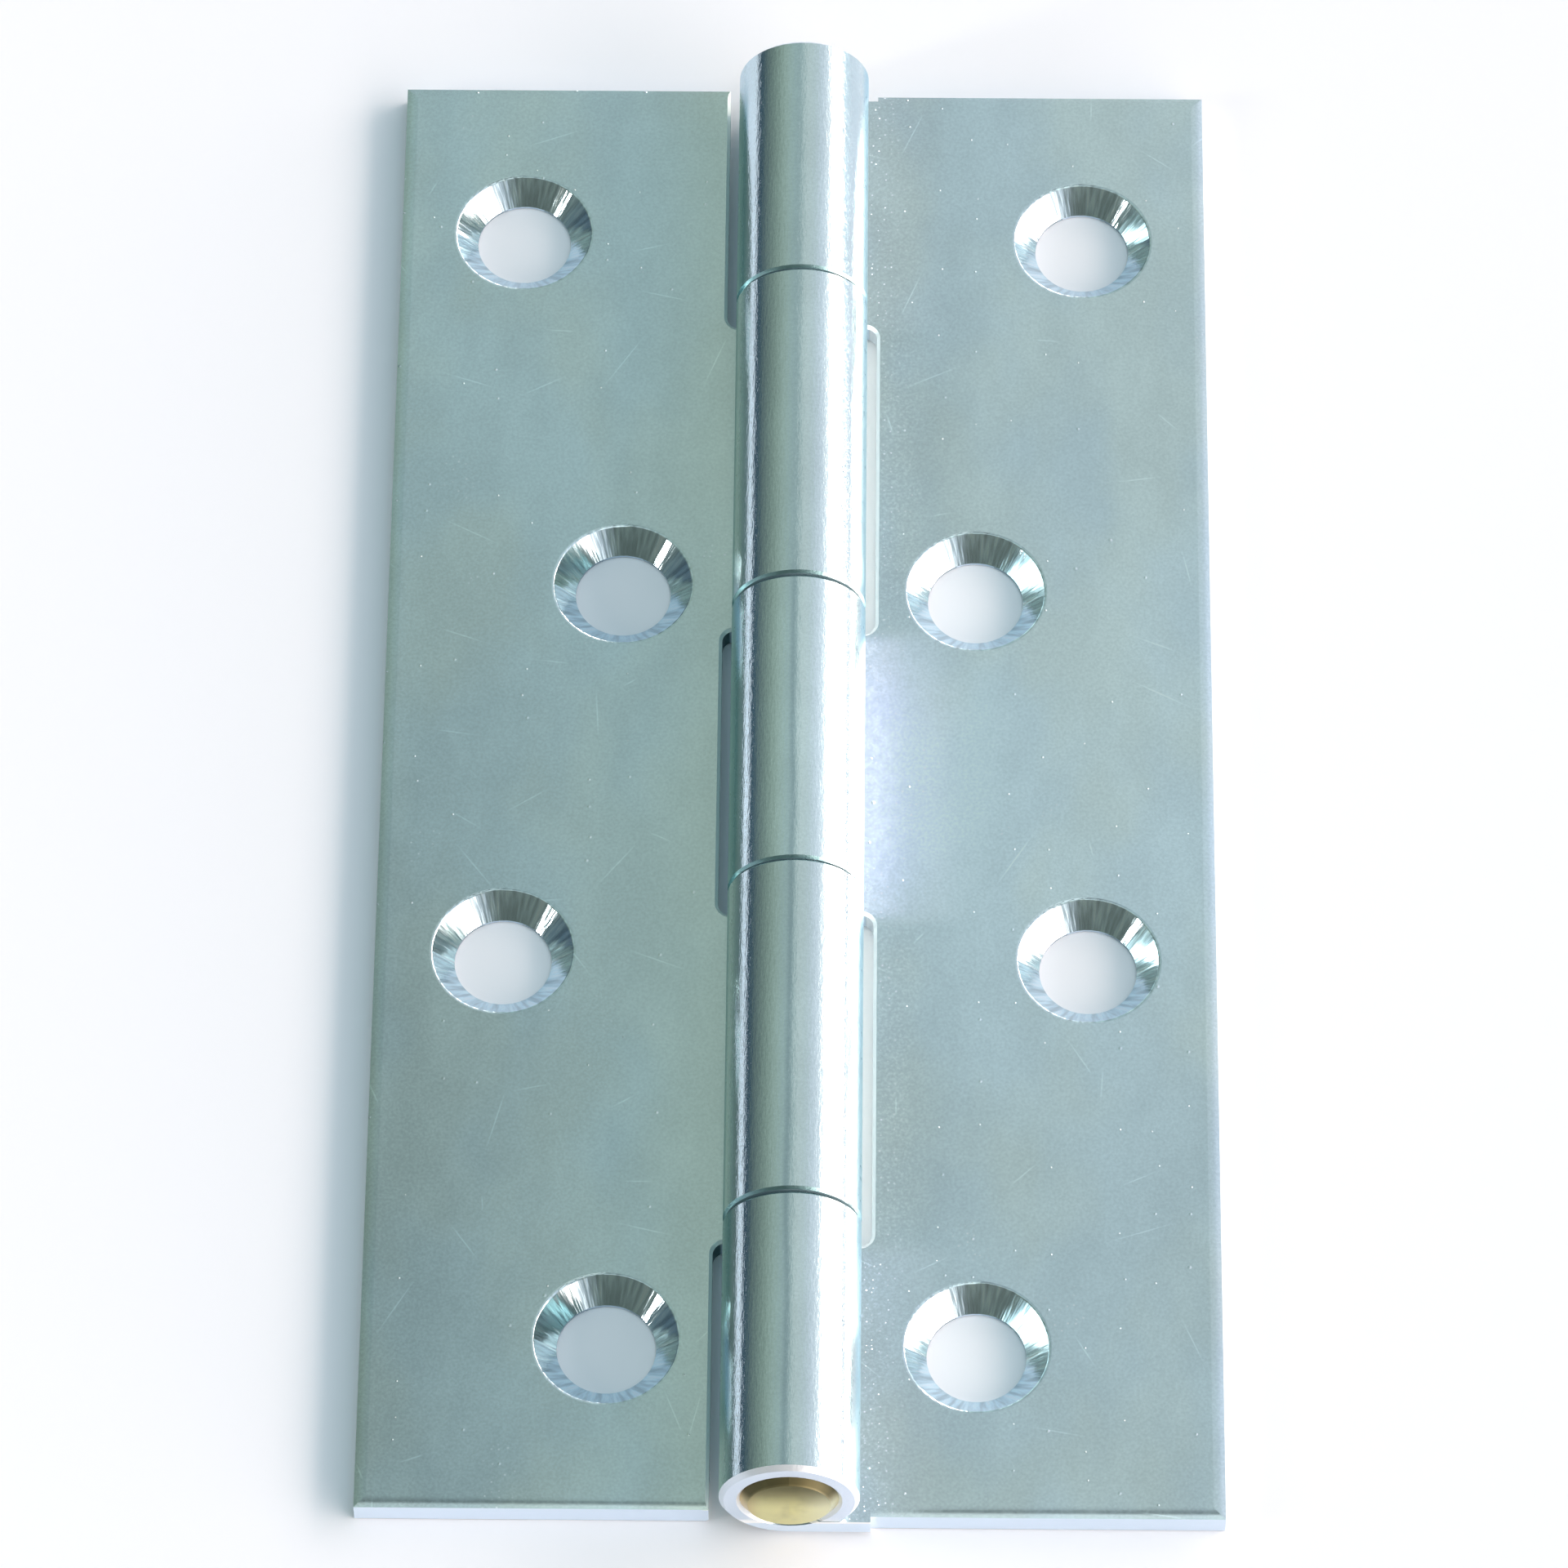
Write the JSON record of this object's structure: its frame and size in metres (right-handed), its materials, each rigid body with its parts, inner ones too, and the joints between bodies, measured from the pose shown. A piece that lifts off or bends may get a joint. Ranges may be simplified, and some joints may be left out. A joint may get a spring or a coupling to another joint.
{
  "type": "narrow hinge",
  "caption": "Narrow rolled butt hinge: flat sheet-steel leaves with staggered countersunk screw holes swing on a riveted pin through interleaved knuckles.",
  "frame": {"origin": "on the flat backs of the open leaves, below the middle of the pin", "axes": "+X across the open leaves towards the three-knuckle leaf, +Y along the pin, +Z out of the countersunk faces"},
  "size_m": [0.05, 0.1012, 0.0081],
  "materials": {
    "zinc_steel": "bright zinc plated, bluish passivated",
    "brass_pin": "drawn, ends spread and domed"
  },
  "bodies": {
    "pinned_leaf": {"three_knuckle_leaf": "zinc_steel", "hinge_pin": "brass_pin"},
    "swing_leaf": {"two_knuckle_leaf": "zinc_steel"}
  },
  "joints": [
    {"name": "leaf_fold", "type": "hinge", "parent": "pinned_leaf", "child": "swing_leaf", "pos_m": [0, 0, 0.00404], "axis": [0, 1, 0], "range_deg": [-90, 190]}
  ]
}
